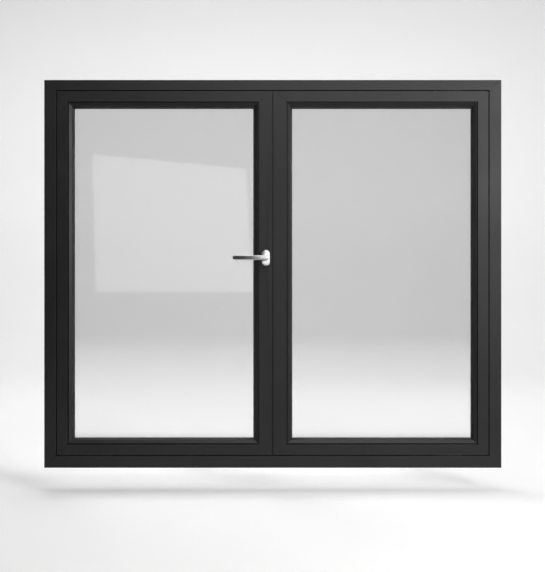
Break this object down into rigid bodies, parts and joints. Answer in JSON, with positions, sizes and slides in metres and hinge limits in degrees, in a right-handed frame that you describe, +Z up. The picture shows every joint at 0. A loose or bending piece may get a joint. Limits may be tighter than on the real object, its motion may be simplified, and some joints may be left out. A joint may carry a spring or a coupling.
{
  "type": "casement window",
  "caption": "Two-leaf inward-opening casement window with slim dark aluminium frame, double glazing, lever handle, sliding bolts and concealed slide-arm hinges.",
  "frame": {"origin": "centre of the underside of the sill, at mid depth of the frame", "axes": "+X to the right seen from the room, +Y to the outdoor side, +Z up"},
  "size_m": [1.65, 0.1245, 1.4],
  "materials": {
    "powder_coat": "satin dark anthracite powder coat on aluminium",
    "nylon": "glass-filled nylon",
    "raw_aluminium": "mill finish",
    "glass": "clear float glass",
    "spacer_metal": "satin",
    "rubber": "matte black EPDM",
    "handle_metal": "satin chrome",
    "zinc_steel": "zinc plated"
  },
  "bodies": {
    "frame": {"frame_sill": "powder_coat", "frame_head": "powder_coat", "frame_left_jamb": "powder_coat", "frame_right_jamb": "powder_coat", "frame_mullion": "powder_coat", "frame_thermal_strips": "nylon", "frame_corner_cleats": "raw_aluminium", "frame_gasket": "rubber", "hinge_tracks": "zinc_steel", "bolt_keeps": "zinc_steel", "weep_caps": "nylon"},
    "left_arms": {"left_support_arms": "zinc_steel"},
    "left_leaf": {"left_bottom_rail": "powder_coat", "left_top_rail": "powder_coat", "left_hinge_stile": "powder_coat", "left_meeting_stile": "powder_coat", "left_thermal_strips": "nylon", "left_corner_cleats": "raw_aluminium", "left_inner_pane": "glass", "left_outer_pane": "glass", "left_spacer_bar": "spacer_metal", "left_edge_seal": "rubber", "left_beads": "powder_coat", "left_glazing_gaskets": "rubber", "left_setting_blocks": "nylon", "left_meeting_seal": "rubber", "left_sash_arms": "zinc_steel", "left_gearbox": "zinc_steel", "left_rod_guides": "nylon", "handle_base": "handle_metal", "handle_cover": "handle_metal", "handle_screws": "zinc_steel"},
    "left_shoes": {"left_hinge_shoes": "zinc_steel"},
    "handle": {"handle_lever": "handle_metal", "handle_spindle": "zinc_steel", "left_pinion": "zinc_steel"},
    "left_upper_bolt": {"left_upper_rod": "zinc_steel"},
    "left_lower_bolt": {"left_lower_rod": "zinc_steel"},
    "right_arms": {"right_support_arms": "zinc_steel"},
    "right_leaf": {"right_bottom_rail": "powder_coat", "right_top_rail": "powder_coat", "right_hinge_stile": "powder_coat", "right_meeting_stile": "powder_coat", "right_thermal_strips": "nylon", "right_corner_cleats": "raw_aluminium", "right_inner_pane": "glass", "right_outer_pane": "glass", "right_spacer_bar": "spacer_metal", "right_edge_seal": "rubber", "right_beads": "powder_coat", "right_glazing_gaskets": "rubber", "right_setting_blocks": "nylon", "right_meeting_seal": "rubber", "right_sash_arms": "zinc_steel", "right_gearbox": "zinc_steel", "right_rod_guides": "nylon"},
    "right_shoes": {"right_hinge_shoes": "zinc_steel"},
    "right_gear": {"right_pinion": "zinc_steel"},
    "right_upper_bolt": {"right_upper_rod": "zinc_steel"},
    "right_lower_bolt": {"right_lower_rod": "zinc_steel"}
  },
  "joints": [
    {"name": "left_arm_hinge", "type": "hinge", "parent": "frame", "child": "left_arms", "pos_m": [-0.61, -0.016, 0.703], "axis": [0, 0, 1], "range_deg": [0, 80]},
    {"name": "left_leaf_hinge", "type": "hinge", "parent": "left_arms", "child": "left_leaf", "pos_m": [-0.685, -0.016, 0.703], "axis": [0, 0, 1], "range_deg": [-160, 0]},
    {"name": "left_shoe_hinge", "type": "hinge", "parent": "left_leaf", "child": "left_shoes", "pos_m": [-0.76, -0.016, 0.703], "axis": [0, 0, 1], "range_deg": [0, 80]},
    {"name": "right_arm_hinge", "type": "hinge", "parent": "frame", "child": "right_arms", "pos_m": [0.61, -0.016, 0.703], "axis": [0, 0, -1], "range_deg": [0, 80]},
    {"name": "right_leaf_hinge", "type": "hinge", "parent": "right_arms", "child": "right_leaf", "pos_m": [0.685, -0.016, 0.703], "axis": [0, 0, -1], "range_deg": [-160, 0]},
    {"name": "right_shoe_hinge", "type": "hinge", "parent": "right_leaf", "child": "right_shoes", "pos_m": [0.76, -0.016, 0.703], "axis": [0, 0, -1], "range_deg": [0, 80]},
    {"name": "handle_turn", "type": "hinge", "parent": "left_leaf", "child": "handle", "pos_m": [-0.025, -0.036, 0.757], "axis": [0, -1, 0], "range_deg": [0, 90]},
    {"name": "left_upper_slide", "type": "slide", "parent": "left_leaf", "child": "left_upper_bolt", "axis": [0, 0, 1], "range_m": [0, 0.0118]},
    {"name": "left_lower_slide", "type": "slide", "parent": "left_leaf", "child": "left_lower_bolt", "axis": [0, 0, -1], "range_m": [0, 0.0118]},
    {"name": "right_gear_turn", "type": "hinge", "parent": "right_leaf", "child": "right_gear", "pos_m": [0.025, -0.036, 0.757], "axis": [0, 1, 0], "range_deg": [0, 90.2]},
    {"name": "right_upper_slide", "type": "slide", "parent": "right_leaf", "child": "right_upper_bolt", "axis": [0, 0, 1], "range_m": [0, 0.01178]},
    {"name": "right_lower_slide", "type": "slide", "parent": "right_leaf", "child": "right_lower_bolt", "axis": [0, 0, -1], "range_m": [0, 0.0118]}
  ],
  "couplings": [
    {"joint": "left_leaf_hinge", "follows": "left_arm_hinge", "ratio": -2},
    {"joint": "left_shoe_hinge", "follows": "left_arm_hinge", "ratio": 1},
    {"joint": "right_leaf_hinge", "follows": "right_arm_hinge", "ratio": -2},
    {"joint": "right_shoe_hinge", "follows": "right_arm_hinge", "ratio": 1},
    {"joint": "left_upper_slide", "follows": "handle_turn", "m_per_rad": 0.0075},
    {"joint": "left_lower_slide", "follows": "handle_turn", "m_per_rad": 0.0075},
    {"joint": "right_gear_turn", "follows": "right_upper_slide", "rad_per_m": 133.33},
    {"joint": "right_lower_slide", "follows": "right_upper_slide", "ratio": 1}
  ]
}
